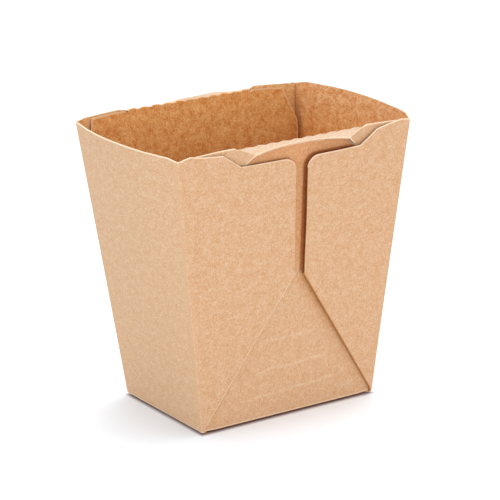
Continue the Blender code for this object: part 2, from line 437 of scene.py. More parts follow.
def thicken(mesh, flat_layer, thickness):
    """Turn a sheet of middle points into board, half of it to each side, with cut edges all round."""
    mesh.normal_update()
    faces = list(mesh.faces)
    rims = [edge.link_loops[0] for edge in mesh.edges if len(edge.link_loops) == 1]
    offsets = {}
    for vert in mesh.verts:
        offsets[vert] = vert.normal * min(vert.calc_shell_factor(), MITRE_LIMIT) * thickness / 2
    twins = {vert: mesh.verts.new(vert.co - offset) for vert, offset in offsets.items()}
    for vert, offset in offsets.items():
        vert.co += offset
    for face in faces:
        twin = mesh.faces.new([twins[vert] for vert in reversed(face.verts)])
        twin.material_index = face.material_index + 1
        twin.smooth = True
        for loop, source in zip(twin.loops, reversed(face.loops)):
            loop[flat_layer].uv = source[flat_layer].uv
    for loop in rims:
        start, end = loop.vert, loop.link_loop_next.vert
        rim = mesh.faces.new([end, start, twins[start], twins[end]])
        rim.material_index = loop.face.material_index + 2
        rim.smooth = True
        places = [loop.link_loop_next[flat_layer].uv, loop[flat_layer].uv]
        for corner, place in zip(rim.loops, places + places[::-1]):
            corner[flat_layer].uv = place


def add_to_carton(piece):
    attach(piece, "carton")
    return piece


# Long walls, base and strips

def merge_marks(marks, fillers, gap):
    """Sorted places with every mark kept, and fillers only where no mark is near."""
    kept = sorted(set(round(x, 6) for x in marks))
    kept += [x for x in fillers if all(abs(x - mark) > gap for mark in kept)]
    return sorted(kept)


def wall_columns():
    """Places along the rim where the long walls' sheet has columns, the same for front and back."""
    end = half_length(HEIGHT) - BOARD - 0.1
    marks = [-end, end]
    for side, turned in ((FRONT, 1), (BACK, -1)):
        for across in (-1, 1):
            knee, slit, crease = slit_marks(across, side)
            places = [knee, crease + across * SHOULDER_END[side, across]] + spread(slit, crease, LINE_STEPS)
            marks += [turned * place for place in places]
    return merge_marks(marks, spread(-end, end, WALL_COLUMNS), COLUMN_GAP)


def foot_out(x, v):
    """The bare triangle between the diagonals comes forward at the base, where no layer lies on it."""
    kind = "tight" if x < 0 else "proud"
    corner_end, away = web_frame(kind)[1:]
    inside = float(np.dot(np.array([abs(x), v]) - corner_end, away))
    return FOOT_OUT * smooth(inside, 0.3, 5) * (1 - smooth(v, 1, 24))


def wall_face(x, v, side):
    """Middle of a long wall's board. The columns draw together as the wall narrows."""
    place = x / half_length(HEIGHT) * half_length(level_of(v))
    w = WALL_W + stack_wave(place, v, side) - tongue_dip(place, v) + foot_out(place, v)
    if side == FRONT:
        w += wrinkle(place, v)
    return wall_point(place, v, w, side)


def wall_rows(x, side):
    """Middle points of one column, from the rim down to the base bend."""
    foot = slope_of(BASE_BEND + BOARD / 2)
    top = wall_top(x, side)
    heights = [top] + spread(top - EDGE_WEAR, foot, WALL_ROWS - 1)
    return [wall_face(x, v, side) for v in heights]


def base_row(x, depth):
    """Middle points from the front wall's foot, across the base, to the back wall's foot."""
    foot_x = x / half_length(HEIGHT) * half_length(0)
    inner_x = foot_x * (1 - BASE_LIP / half_length(0))
    turns = [(BASE_BEND * (1 - math.cos(a)), BOARD / 2 + BASE_BEND * (1 - math.sin(a)))
             for a in spread(0, math.pi / 2, BASE_BENDS)[1:]]
    line = [(foot_x, inset - depth, level) for inset, level in turns]
    middle = spread(BASE_BEND - depth, depth - BASE_BEND, BASE_ROWS)[1:-1]
    line += [(inner_x, y, BOARD / 2) for y in middle]
    line += [(foot_x, depth - inset, level) for inset, level in turns[::-1]]
    return [np.array(point) for point in line]


def long_walls_patch():
    """Front wall, base and back wall as one sheet, with its columns along X."""
    grid, flat = [], []
    for x in wall_columns():
        front = wall_rows(x, FRONT)
        back = wall_rows(-x, BACK)
        line = front + base_row(x, -front[-1][1]) + back[::-1]
        steps = [np.linalg.norm(b - a) for a, b in zip(line, line[1:])]
        travel = np.concatenate([[0], np.cumsum(steps)])
        grid.append(line[::-1])
        flat.append([(x, wall_top(x, FRONT) - t) for t in travel[::-1]])
    finish = worn_and_highlit_rim(len(grid), len(grid[0]))
    finish[:, 0] = WORN_AND_HIGHLIGHT
    bend = WALL_ROWS + 2
    # The upper half of the base bend is pale: worn board and a painted highlight
    finish[:, WALL_ROWS:bend] = WORN_AND_HIGHLIGHT
    finish[:, -bend:-WALL_ROWS] = WORN_AND_HIGHLIGHT
    # Painted contact shadow on the lower half of the base bend
    finish[:, bend:bend + 3] = CONTACT_SHADOW
    finish[:, -bend - 3:-bend] = CONTACT_SHADOW
    return np.array(grid), np.array(flat), finish


def strip_tilt(x, side):
    """Angle of the strip from hanging straight down. The back's is bent up higher on one side."""
    if side == FRONT:
        return STRIP_TILT
    return math.radians(BACK_STRIP_TILT + BACK_STRIP_TURN * smooth(x, -25, -5) * smooth(-x, -11, -1))


def apex(x, side):
    """Centre of the crease's rounding in v, with the perforation's bumps."""
    return CREST[side] + BUMP_HEIGHT * (bump(x) - 0.5) - BOARD / 2 - APEX_RADIUS


def end_distance(x, side):
    """How far inside the crease's nearer end x is."""
    return min(x - CREASE_ENDS[side, -1], CREASE_ENDS[side, 1] - x)


def strip_root(x, side):
    """Where the strip leaves the crease's rounding: v and w."""
    tilt = strip_tilt(x, side)
    rise = apex(x, side) + APEX_RADIUS * math.sin(tilt)
    out = APEX_W + stack_wave(x, CREST[side], side) + APEX_RADIUS * math.cos(tilt)
    end = 1 - smooth(end_distance(x, side), 0, CREASE_END_BLEND)
    return lerp(rise, CREST[side], end), lerp(out, WALL_W + stack_wave(x, CREST[side], side), end)


def strip_edge(x, side):
    """Free edge of the strip, along the slit: v and w."""
    tilt = strip_tilt(x, side)
    width = strip_width(x, side)
    rise = CREST[side] - BOARD / 2 - APEX_RADIUS * (1 - math.sin(tilt)) - width * math.cos(tilt)
    out = APEX_W + stack_wave(x, CREST[side], side) + APEX_RADIUS * math.cos(tilt) + width * math.sin(tilt)
    return rise, out


def strip_patch(side):
    """The strip between crease and slit, with its columns along X and its rows from free edge to crease."""
    grid, flat = [], []
    for share in spread(0, 1, STRIP_COLUMNS):
        root_x = lerp(CREASE_ENDS[side, -1], CREASE_ENDS[side, 1], share)
        edge_x = lerp(KNEES[side, -1], KNEES[side, 1], share)
        rise, out = strip_root(root_x, side)
        root = wall_point(root_x, rise, out, side)
        edge = wall_point(edge_x, *strip_edge(edge_x, side), side)
        if share in (0, 1):
            root = wall_face(root_x, CREST[side], side)
        wave = BUMP_HEIGHT * (bump(root_x) - 0.5) * smooth(end_distance(root_x, side), 0, 1)
        level = root - wave * (wall_point(0, 1, 0, side) - wall_point(0, 0, 0, side))
        grid.append([lerp(edge, lerp(level, root, part ** 3), part) for part in STRIP_PLACES])
        width = strip_width(edge_x, side)
        places = [(lerp(edge_x, root_x, part), CREST[side] - width * (1 - part)) for part in STRIP_PLACES]
        flat.append(places)
    finish = np.full((len(grid) - 1, STRIP_ROWS), STRIP)
    # The strip's free edge row is pale: worn board and a painted highlight
    finish[:, 0] = WORN_AND_HIGHLIGHT
    return np.array(grid), np.array(flat), finish


def triangle_patch(side, end):
    """The folded triangle between a slit end, the slit's knee and the crease's end."""
    knee_x, slit_x, crease_x = slit_marks(end, side)
    slit = wall_face(slit_x, wall_top(slit_x, side), side)
    knee = wall_point(knee_x, *strip_edge(knee_x, side), side)
    grid, flat = [], []
    for share in spread(0, 1, LINE_STEPS):
        rim_x = lerp(slit_x, crease_x, share)
        rim_v = wall_top(rim_x, side)
        rim = wall_face(rim_x, rim_v, side)
        inner = lerp(slit, knee, share)
        row = [lerp(inner, rim, part) for part in STRIP_PLACES]
        places = [(lerp(lerp(slit_x, knee_x, share), rim_x, part), rim_v) for part in STRIP_PLACES]
        grid.append(row if end > 0 else row[::-1])
        flat.append(places if end > 0 else places[::-1])
    finish = np.full((STRIP_ROWS, LINE_STEPS), TRIANGLE)
    finish[0 if end > 0 else -1, :] = WORN_AND_HIGHLIGHT
    return np.array([list(c) for c in zip(*grid)]), np.array([list(c) for c in zip(*flat)]), finish


def add_long_walls(wall, kraft, inside, edge, wear_and_highlight, worn, gap):
    patches = [long_walls_patch()]
    for side in (FRONT, BACK):
        patches.append(strip_patch(side))
        patches += [triangle_patch(side, end) for end in (-1, 1)]
    faces = [wall, inside, edge, wear_and_highlight, wear_and_highlight, edge, worn, inside, edge, kraft, inside, edge]
    faces += [gap, inside, edge]
    piece = sheet_object("long_walls_and_base", patches, faces)
    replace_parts(add_to_carton(piece), "carton")


# Side walls with their corner webs

def web_profile(kind, side):
    """Top edge of a web from its slot edge to the corner: distance from the middle and v."""
    slot = WEBS[kind]["slot"]
    points = [(slot + WEB_ROUND * (1 - math.cos(a)), WEB_STEP - WEB_ROUND + WEB_ROUND * math.sin(a))
              for a in spread(0, math.pi / 2, 8)]
    corner = half_length(HEIGHT) - BOARD / 2 - CORNER_BEND_TOP - 0.05
    end = -1 if side == FRONT else 1
    across = end if kind == "tight" else -end
    return points + list(WEBS[kind]["rim"]) + [(corner, CORNER_RIM[across, end] + WEB_RISE)]


def along(points, step):
    """Points at about even steps along a polyline, with its corners kept."""
    result = [points[0]]
    for a, b in zip(points, points[1:]):
        steps = max(1, round(math.dist(a, b) / step))
        result += [(lerp(a[0], b[0], i / steps), lerp(a[1], b[1], i / steps)) for i in range(1, steps + 1)]
    return result


def worn_rows(start, end, rows):
    """Points at even steps from start to end, with a last narrow step for the pale edge: worn board with a
    painted highlight.
    """
    last = EDGE_WEAR / np.linalg.norm(end - start)
    return [lerp(start, end, (1 - last) * i / (rows - 1)) for i in range(rows)] + [end]


def worn_and_highlit_rim(columns, rows, sides=False):
    """Materials of a patch's faces: plain, and pale along the top row and, if asked, the side edges, which
    is worn board with a painted highlight.
    """
    finish = np.full((columns - 1, rows - 1), PLAIN)
    finish[:, -1] = WORN_AND_HIGHLIGHT
    if sides:
        finish[0, :] = WORN_AND_HIGHLIGHT
        finish[-1, :] = WORN_AND_HIGHLIGHT
    return finish


def web_frame(kind):
    """Ends of a web's diagonal fold, and the direction in the wall's plane that points off the web."""
    slot_end = np.array([WEBS[kind]["foot"], SLOT_FOOT])
    corner_end = np.array([half_length(WEB_FOOT) - BOARD / 2 - 0.15, WEB_FOOT])
    run = (corner_end - slot_end) / np.linalg.norm(corner_end - slot_end)
    return slot_end, corner_end, np.array([run[1], -run[0]])


def web_columns(kind, mirror, side, rows, layer):
    """Columns of one layer of a web from its slot edge to the corner, each from its fold up to its rim."""
    slot_end, corner_end, away = web_frame(kind)
    profile = along(web_profile(kind, side), PROFILE_STEP)
    profile.insert(1, tuple(lerp(np.array(profile[0]), np.array(profile[1]), 0.4)))
    first, last = profile[0][0], profile[-1][0]
    grid, flat = [], []
    for top_x, top_v in profile:
        share = (top_x - first) / (last - first)
        fold = lerp(slot_end, corner_end, share)
        upwards = -away
        start = fold + upwards * (FOLD_RADIUS + BOARD / 2)
        top = np.array([top_x, top_v])
        places = []
        if layer == "outer":
            tuck = TUCK * (1 - 0.9 * smooth(share, 0.8, 1))
            for extra in (2 * tuck, tuck):
                places.append((start + upwards * extra, WEB_OUTER_W - 2 * FOLD_RADIUS))
            for angle in spread(math.pi, 0, FOLD_ROWS)[:-1]:
                out = start - upwards * FOLD_RADIUS * math.sin(angle)
                places.append((out, WEB_OUTER_W - FOLD_RADIUS * (1 - math.cos(angle))))
            places += [(point, WEB_OUTER_W) for point in worn_rows(start, top, rows)]
        else:
            setback = INNER_SETBACK - INNER_SHIFT * share
            lowered = lerp(*INNER_DROPS, smooth(top_x, *WEBS[kind]["deep"]))
            foot = lerp(*INNER_FEET, smooth(share, 0.8, 1))
            start = fold + upwards * foot + (setback, 0)
            places += [(point, WEB_INNER_W) for point in worn_rows(start, top + (setback, -lowered), rows)]
        column = []
        for (x, v), w in places:
            x = min(x, half_length(level_of(v)) - BOARD / 2 - corner_bend(level_of(v)))
            w += web_lift(kind, x, v, fold[1]) + stack_wave(mirror * x, v, side)
            column.append(wall_point(mirror * x, v, w, side))
        grid.append(column)
        flat.append([(mirror * x + 200 * side, v) for (x, v), w in places])
    return grid, flat


def swell(share, level, side):
    """How far a side wall stands out, at a share of the half depth."""
    peak = SWELL[side] * (1 - abs(share) ** SWELL_POWER[side])
    lean = SWELL_LEAN * share * side
    ripple = SIDE_UNEVENNESS * drift(share * 30, level, 5.5 + side, 24.0) * smooth(level, 2, 15)
    ripple *= smooth(1 - abs(share), 0, 0.3)
    return peak * (1 + lean) * max(level / HEIGHT, 0) ** SWELL_GROWTH + ripple


def side_point(share, level, inset, side):
    x = half_length(level) - BOARD / 2 + swell(share, level, side) - inset
    return np.array([side * x, share * (half_depth(level) - BOARD / 2), level])


def corner_point(turn, level, inset, side, end):
    """Point of the rounded corner: turn is 0 at the web and 1 at the side wall, end is -1 in front."""
    x = half_length(level) - BOARD / 2
    y = half_depth(level) - BOARD / 2
    bend = corner_bend(level)
    web = np.array([side * (x - bend), end * (y - inset), level])
    tip = np.array([side * (x - inset), end * (y - inset), level])
    wall = side_point(end * (1 - bend / y), level, inset, side)
    return lerp(lerp(web, tip, turn), lerp(tip, wall, turn), turn)


def rim_level(share, side):
    """Top of a side wall."""
    away = (1 - abs(share)) * half_depth(HEIGHT)
    nick = SIDE_NICKS * drift(share * 34, 0, 2.2, 5.0)
    rise = min(max(away - CORNER_BEND_TOP, 0) / CORNER_REACH, 1)
    top = SIDE_RIM[side] + (SIDE_RIM_RISE * smooth(share, -0.6, 0.5) if side > 0 else 0)
    corner = CORNER_RIM[side, 1 if share > 0 else -1] + SIDE_RISE
    return lerp(corner, top, rise) + nick * smooth(away, 2, 8)


def upright(place, top):
    """One column of a side wall or corner, from the lip under the base up to the rim."""
    column = [place(BOARD / 2, BASE_BEND + lip) for lip in (BASE_LIP, BASE_LIP / 2)]
    for angle in spread(math.pi / 2, 0, FOLD_ROWS)[:-1]:
        level = BOARD / 2 + BASE_BEND * (1 - math.sin(angle))
        column.append(place(level, BASE_BEND * (1 - math.cos(angle))))
    start = BOARD / 2 + BASE_BEND
    levels = [lerp(start, top - EDGE_WEAR, i / (SIDE_ROWS - 1)) for i in range(SIDE_ROWS)] + [top]
    return column + [place(level, 0) for level in levels]


def side_sheet_patch(side):
    """Web, corner, side wall, corner and web as one sheet, whose parts lie apart on the flat board."""
    kinds = {-1: "tight" if side < 0 else "proud", 1: "proud" if side < 0 else "tight"}
    grid, flat = [], []
    for end in (1, -1):
        wall = FRONT if end < 0 else BACK
        mirror = side if wall == FRONT else -side
        web, web_flat = web_columns(kinds[end], mirror, wall, SIDE_ROWS, "outer")
        bend, bend_flat = [], []
        for turn in spread(0, 1, CORNER_BENDS)[1:]:
            top = CORNER_RIM[side, end] + lerp(WEB_RISE, SIDE_RISE, turn) * abs(2 * turn - 1)
            column = upright(lambda level, inset: corner_point(turn, level, inset, side, end), top)
            bend.append(column)
            bend_flat.append([(300 - 2 * turn, point[2]) for point in column])
        if end == 1:
            grid += web + bend
            flat += web_flat + bend_flat
            reach = 1 - CORNER_BEND_TOP / (half_depth(HEIGHT) - BOARD / 2)
            for share in spread(reach, -reach, SIDE_COLUMNS)[1:-1]:
                top = rim_level(share, side)
                column = upright(lambda level, inset: side_point(share, level, inset, side), top)
                grid.append(column)
                across = 340 + 34 * share + 100 * side
                flat.append([(across, point[2] + 0.5 * i) for i, point in enumerate(column)])
        else:
            grid += (web + bend)[::-1]
            flat += (web_flat + bend_flat)[::-1]
    if side > 0:
        grid, flat = grid[::-1], flat[::-1]
    finish = worn_and_highlit_rim(len(grid), len(grid[0]), sides=True)
    webs = len(web)
    fold_end = FOLD_ROWS + 2
    # Painted highlight along the diagonal fold of the tight web
    finish[:, FOLD_ROWS:fold_end] = RIDGE_HIGHLIGHT
    # Painted shadow under the webs' folds
    finish[:, :FOLD_ROWS] = SHADED_GAP
    finish[webs:-webs, :2] = PLAIN
    # The side walls' base bends are pale: worn board and a painted highlight
    finish[webs:-webs, FOLD_ROWS:fold_end] = WORN_AND_HIGHLIGHT
    # Painted shadow line on the inside of the corners
    finish[webs + 1:webs + 3, fold_end:-1] = CORNER_SHADOW
    finish[-webs - 3:-webs - 1, fold_end:-1] = CORNER_SHADOW
    for kind, columns, slot in ((kinds[-side], slice(0, webs), 0), (kinds[side], slice(-webs, None), -1)):
        if kind == "proud":
            # Painted shadow with warm bounce light on the proud web's fold
            finish[columns, FOLD_ROWS:fold_end] = PROUD_FOLD_SHADOW
            # Painted shadow on the proud web's slot edge
            finish[slot, :] = SHADED_GAP
    return np.array(grid), np.array(flat), finish


def add_sides(kraft, inside, edge, wear_and_highlight, gap, fold_shadow_face, ridge_highlight_face, corner_shadow_face):
    faces = [kraft, inside, edge, wear_and_highlight, wear_and_highlight, edge, gap, inside, gap, fold_shadow_face, inside, edge]
    faces += [ridge_highlight_face, inside, edge, kraft, corner_shadow_face, edge]
    for name, side in (("side_left", -1), ("side_right", 1)):
        add_to_carton(sheet_object(name, [side_sheet_patch(side)], faces))
        for place, wall in (("front", FRONT), ("back", BACK)):
            mirror = side if wall == FRONT else -side
            kind = "tight" if mirror < 0 else "proud"
            grid, flat = web_columns(kind, mirror, wall, INNER_ROWS, "inner")
            if mirror < 0:
                grid, flat = grid[::-1], flat[::-1]
            # The inner web layers are coloured with painted shadow
            patch = np.array(grid), np.array(flat), SHADED_GAP
            add_to_carton(sheet_object(f"web_inner_{place}_{name[5:]}", [patch], faces, BOARD - 0.02))


# Creases and lids

def crease_end(x, side):
    """Where the pale crease gives way to the lid: it reaches further down in the perforation's dips."""
    return apex(x, side) + APEX_RADIUS * lerp(-1.5, 0.0, min(bump(x), 1.0))


def crease_patch(side):
    """Rounded crease from the strip's root, over the top, to the lid."""
    grid, flat, finish = [], [], []
    left = CREASE_ENDS[side, -1] + CREASE_END_BLEND
    right = CREASE_ENDS[side, 1] - CREASE_END_BLEND
    for x in spread(left, right, CREASE_COLUMNS):
        tilt = strip_tilt(x, side)
        centre = APEX_W + stack_wave(x, CREST[side], side)
        column = []
        angles = spread(math.pi / 2 - tilt, -math.pi / 2, CREASE_ROWS)
        # The crease's inner side takes the lid's colour, painted as the shade inside the box
        brown = -0.3 if bump(x) > 0.4 else -0.95
        finish.append([SHADED_BROWN if angle < brown else PLAIN for angle in angles[1:]] + [SHADED_BROWN, SHADED_BROWN])
        for angle in angles:
            v = apex(x, side) + APEX_RADIUS * math.cos(angle)
            column.append(wall_point(x, v, centre + APEX_RADIUS * math.sin(angle), side))
        end = crease_end(x, side)
        for i in (1, 2):
            column.append(wall_point(x, lerp(apex(x, side), end, i / 2), centre - APEX_RADIUS, side))
        grid.append(column)
        flat.append([(x, CREST[side] + 0.12 * i) for i in range(len(column))])
    return np.array(grid), np.array(flat), np.array(finish[1:])


def lid_half_width(reach):
    """Half width of a lid at a distance below the crease: cut narrower near the crease."""
    wall = half_length(CREST[FRONT] - reach * math.cos(SLOPE)) - BOARD - LID_CLEARANCE
    shoulder_half = LID_SHOULDER_HALF + LID_WIDENING * max(reach, 0)
    panel_end = reach - (LID_PANEL - LID_CORNER)
    half = min(wall, shoulder_half)
    if panel_end > 0:
        half += math.sqrt(max(LID_CORNER ** 2 - panel_end ** 2, 0)) - LID_CORNER
    return half


def lid_top(x, side):
    """Upper edge of a lid: along its crease, and where it was cut free of the wall's shoulders."""
    beyond = CREASE_END_BLEND - end_distance(x, side)
    if beyond <= 0:
        return crease_end(x, side)
    offset = abs(x - CREASE_SHIFT)
    free = CREST[side] - 0.25 - 0.35 * smooth(offset, 28, 37) - 0.5 * smooth(offset, 37, 39.5)
    return lerp(crease_end(CREASE_ENDS[side, 1] - CREASE_END_BLEND, side), free, smooth(beyond, 0, 2))


def lid_point(x, v, side, reach):
    """Middle of a lid's board, which leaves the wall a little further down."""
    w = LID_W + stack_wave(x, v, side) * (1 - smooth(reach, 0, 30)) - LID_STAND_OFF * smooth(reach, -4, 20)
    w += LID_STAND_OFF * smooth(0, -4, 20) * (1 - smooth(reach, 0, 6))
    w += LID_UNEVENNESS * drift(x, v, 12.5 + side, 30.0) * smooth(reach, 2, 16)
    return wall_point(x, v, w, side)


def lid_patches(side):
    """Panel and tab of a lid, with their rows going down from the crease."""
    wide = lid_half_width(LID_PANEL - LID_CORNER)
    foot = wide - LID_CORNER
    marks = [s * LID_TAB_HALF / foot for s in (-1, 1)] + [-1, -0.992, 0.992, 1]
    shares = merge_marks(marks, spread(-1, 1, LID_COLUMNS), 0.006)
    fall = [0, 0.6, 1.3] + spread(2, LID_PANEL - LID_CORNER, LID_ROWS)
    fall += [LID_PANEL - LID_CORNER + LID_CORNER * math.sin(a) for a in spread(0, math.pi / 2, 8)[1:]]
    grid, flat = [], []
    for share in shares:
        column = []
        for reach in fall:
            centre = LID_SHIFT[side] * (1 - smooth(reach, 4, 16))
            x = centre + share * lid_half_width(reach)
            v = CREST[side] - reach
            if reach < LID_TOP_REACH:
                v = lerp(lid_top(x, side), CREST[side] - LID_TOP_REACH, reach / LID_TOP_REACH)
            column.append((x, v, reach))
        grid.append([lid_point(x, v, side, reach) for x, v, reach in column])
        flat.append([(x, 2 * CREST[side] - v) for x, v, reach in column])
    finish = np.full((len(grid) - 1, len(grid[0]) - 1), PLAIN)
    finish[0, :] = WORN_AND_HIGHLIGHT
    finish[-1, :] = WORN_AND_HIGHLIGHT
    ends = [end_distance(LID_SHIFT[side] + share * lid_half_width(0), side) for share in shares]
    finish[[i for i, inside in enumerate(ends[:-1]) if inside < 0], 0] = WORN_AND_HIGHLIGHT
    panel = np.array(grid), np.array(flat), finish
    tab_grid, tab_flat = [], []
    for share in [s for s in shares if abs(s) <= LID_TAB_HALF / foot + 1e-6]:
        column = []
        for drop in spread(0, LID_TAB_LENGTH, 8):
            rounded = LID_CORNER - max(drop - (LID_TAB_LENGTH - LID_CORNER), 0)
            pull = LID_CORNER - math.sqrt(max(LID_CORNER ** 2 - (LID_CORNER - rounded) ** 2, 0))
            x = share * foot * (1 - pull / LID_TAB_HALF)
            column.append((x, CREST[side] - LID_PANEL - drop, LID_PANEL + drop))
        tab_grid.append([lid_point(x, v, side, reach) for x, v, reach in column])
        tab_flat.append([(x, 2 * CREST[side] - v) for x, v, reach in column])
    return [panel, (np.array(tab_grid), np.array(tab_flat), PLAIN)]


def add_lids(kraft, edge, wear_and_highlight, worn):
    for name, side in (("front", FRONT), ("back", BACK)):
        # Both faces of a lid take the lid's painted-shade colour
        lid = sheet_object(name + "_lid_board", lid_patches(side), [kraft, kraft, edge, wear_and_highlight, wear_and_highlight, edge])
        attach(lid, name + "_lid")
        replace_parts(lid, name + "_lid")
        faces = [worn, worn, edge, kraft, kraft, edge]
        crease = sheet_object(name + "_crease", [crease_patch(side)], faces)
        out = APEX_W + stack_wave(0, CREST[side], side)
        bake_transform(crease)


# Materials

class Nodes:
    """Short way to add and link the nodes of one material."""

    def __init__(self, name):
        self.material = bpy.data.materials.new(name)
        self.material.use_nodes = True
        self.tree = self.material.node_tree
        self.shader = self.tree.nodes["Principled BSDF"]

    def add(self, kind, **values):
        node = self.tree.nodes.new(kind)
        for key, value in values.items():
            setattr(node, key, value)
        return node

    def link(self, source, target):
        self.tree.links.new(source, target)

    def place_on_board(self):
        return self.add("ShaderNodeUVMap", uv_map="board").outputs["UV"]

    def place_in_object(self):
        return self.add("ShaderNodeTexCoord").outputs["Object"]

    def axes(self, vector):
        """X, Y and Z of a vector."""
        node = self.add("ShaderNodeSeparateXYZ")
        self.link(vector, node.inputs[0])
        return [node.outputs[axis] for axis in "XYZ"]

    def noise(self, vector, scale, detail, rough=0.6):
        node = self.add("ShaderNodeTexNoise")
        node.inputs["Scale"].default_value = scale
        node.inputs["Detail"].default_value = detail
        node.inputs["Roughness"].default_value = rough
        self.link(vector, node.inputs["Vector"])
        return node.outputs["Fac"]

    def stretched(self, vector, angle, size):
        node = self.add("ShaderNodeMapping", vector_type="TEXTURE")
        node.inputs["Rotation"].default_value = (0, 0, math.radians(angle))
        node.inputs["Scale"].default_value = (1 / size[0], 1 / size[1], 1)
        self.link(vector, node.inputs["Vector"])
        return node.outputs["Vector"]

    def ramp(self, value, start, end, low=0.0, high=1.0):
        node = self.add("ShaderNodeMapRange")
        node.inputs["From Min"].default_value = start
        node.inputs["From Max"].default_value = end
        node.inputs["To Min"].default_value = low
        node.inputs["To Max"].default_value = high
        self.link(value, node.inputs["Value"])
        return node.outputs["Result"]

    def fade(self, value, start, end, high=1.0):
        """High up to start and 0 from end on."""
        return self.ramp(value, start, end, high, 0.0)

    def math(self, operation, a, b=0.0):
        node = self.add("ShaderNodeMath", operation=operation)
        for socket, value in zip(node.inputs, (a, b)):
            if isinstance(value, (int, float)):
                socket.default_value = value
            else:
                self.link(value, socket)
        return node.outputs[0]

    def plus(self, a, b):
        return self.math("ADD", a, b)

    def minus(self, a, b):
        return self.math("SUBTRACT", a, b)

    def times(self, a, b):
        return self.math("MULTIPLY", a, b)

    def larger(self, a, b):
        return self.math("MAXIMUM", a, b)

    def size_of(self, a):
        return self.math("ABSOLUTE", a)

    def shaded(self, share, base, colour):
        """The base multiplied by a colour, as far as share says."""
        node = self.add("ShaderNodeMix", data_type="RGBA", blend_type="MULTIPLY")
        self.link(share, node.inputs[0])
        self.link(base, node.inputs[6])
        node.inputs[7].default_value = (*colour, 1)
        return node.outputs[2]

    def mix(self, share, a, b):
        node = self.add("ShaderNodeMix", data_type="RGBA")
        self.link(share, node.inputs[0])
        for socket, value in zip((node.inputs[6], node.inputs[7]), (a, b)):
            if isinstance(value, tuple):
                socket.default_value = (*value, 1)
            else:
                self.link(value, socket)
        return node.outputs[2]

    def relief(self, height, strength, distance):
        node = self.add("ShaderNodeBump")
        node.inputs["Strength"].default_value = strength
        node.inputs["Distance"].default_value = distance
        self.link(height, node.inputs["Height"])
        self.link(node.outputs["Normal"], self.shader.inputs["Normal"])


def tint(colour, gain):
    return tuple(min(c * max(g, 0.1), 1.0) for c, g in zip(colour, gain))


def changed(colour, change, depth):
    """A colour with each channel changed by a share of itself, times the depth of the mottling."""
    return tint(colour, [1 + share * depth for share in change])


def recess_shade_share(n, place):
    """1 on the bare part of a long wall between its webs, and 0 elsewhere: where painted shade darkens the
    recess.
    """
    x, y = n.axes(place)[:2]
    across = n.size_of(n.minus(x, RECESS_MIDDLE))
    upwards = n.size_of(n.plus(y, FLAT_BASE_MIDDLE))
    return n.times(n.fade(across, *RECESS_HALF), n.ramp(upwards, 74, 86))


def wrinkle_share(n, place):
    """1 along the faint wrinkles across the foot of the front wall."""
    x, y = n.axes(place)[:2]
    waver = n.times(n.noise(place, 0.12, 2), 3.0)
    total = None
    for middle, tilt, left, right in WRINKLE_MARKS:
        line = n.plus(n.times(x, tilt), n.plus(waver, middle))
        away = n.size_of(n.minus(y, line))
        reach = n.times(n.ramp(x, left, left + 5), n.fade(x, right - 5, right))
        mark = n.times(n.fade(away, 0.1, 0.7), reach)
        total = mark if total is None else n.larger(total, mark)
    return n.times(total, n.ramp(n.noise(place, 0.5, 3), 0.35, 0.6, 0.25, 1.0))


def wall_axes(n, place):
    """Distance from the front wall's middle and height up its slope, from the places on the flat board."""
    x, y = n.axes(place)[:2]
    foot = BASE_LENGTH / TOP_LENGTH
    narrow = n.plus(n.times(y, (1 - foot) / HEIGHT), foot)
    return n.times(x, narrow), y


def slot_shade(n, place):
    """1 on the wall right beside the webs' slot edges and tops, which keep the light off it."""
    across, upwards = wall_axes(n, place)
    total = None
    for kind, (mirror, strength, reach) in SLOT_SHADES.items():
        centre = WEBS[kind]["slot"] + WEB_ROUND
        aside = n.larger(n.minus(centre, n.times(across, mirror)), 0.0)
        above = n.larger(n.minus(upwards, WEB_STEP - WEB_ROUND), 0.0)
        squares = n.plus(n.times(aside, aside), n.times(above, above))
        away = n.minus(n.math("POWER", squares, 0.5), WEB_ROUND)
        foot = WEBS[kind]["rim"][0][0]
        beside = n.fade(n.times(across, mirror), foot - 1.5, foot)
        near = n.times(n.fade(away, 0.1, reach, strength), beside)
        total = near if total is None else n.larger(total, near)
    return n.times(total, n.ramp(upwards, SLOT_FOOT - 1, SLOT_FOOT + 1))


def fold_shade(n, place):
    """1 on the front wall's bare triangle right beside the diagonal fold that stands proud of it."""
    across, upwards = wall_axes(n, place)
    corner_end, away = web_frame("proud")[1:]
    sideways = n.times(n.minus(across, float(corner_end[0])), float(away[0]))
    distance = n.plus(sideways, n.times(n.minus(upwards, float(corner_end[1])), float(away[1])))
    near = n.fade(distance, *FOLD_SHADE)
    below_slot = n.fade(upwards, SLOT_FOOT - 3, SLOT_FOOT + 1)
    rise = n.times(n.ramp(upwards, 0.0, 40.0, 0.25, 1.0), below_slot)
    return n.times(n.times(near, near), rise)


def depth_share(n):
    """0 at the rim and 1 a third of the way down, where the board only gets light from other board."""
    return n.fade(n.axes(n.place_in_object())[2], SUNK_FOOT * MM, SUNK_TOP * MM)


